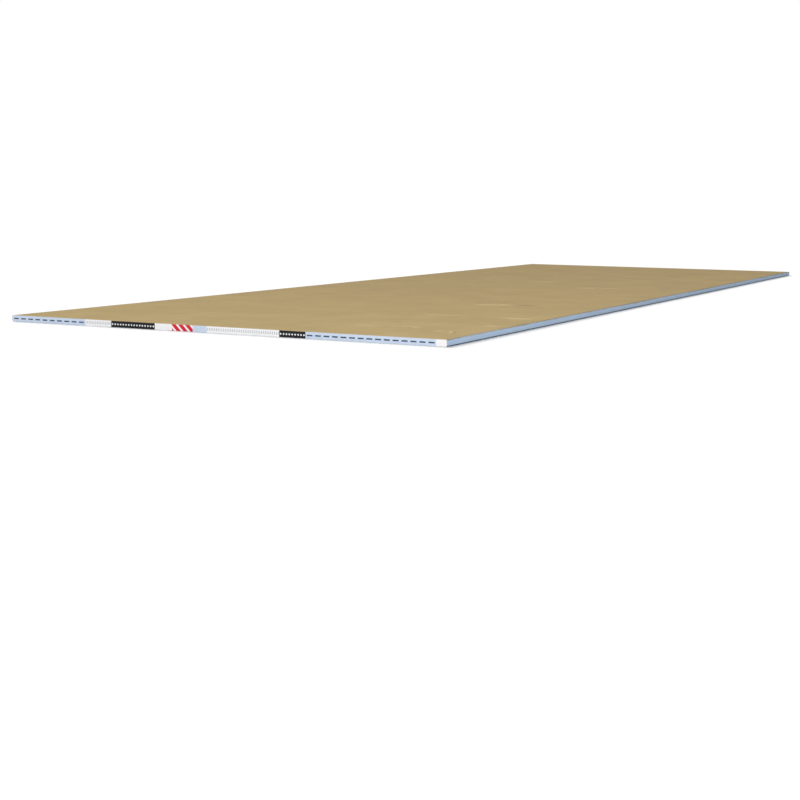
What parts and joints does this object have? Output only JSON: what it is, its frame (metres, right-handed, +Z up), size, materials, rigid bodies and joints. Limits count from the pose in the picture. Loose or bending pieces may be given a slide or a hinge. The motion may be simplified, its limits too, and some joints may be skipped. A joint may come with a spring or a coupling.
{
  "type": "drywall sheet",
  "caption": "Flat paper-faced gypsum sheet with tapered long edges and slit end tape, lying back up, for lining walls and ceilings.",
  "frame": {"origin": "middle of the face that the sheet lies on, at floor level", "axes": "+Y along the length, +X across the width, +Z up, out of the sheet's back"},
  "size_m": [1.2192, 3.658, 0.0159],
  "materials": {
    "board": "matt tan back paper, pale blue face paper that wraps the long edges, gypsum core",
    "end_tape": "smooth white paper printed with plain colour fields"
  },
  "bodies": {
    "root": {"board": "board", "end_tape_near": "end_tape", "end_tape_far": "end_tape"}
  },
  "joints": []
}
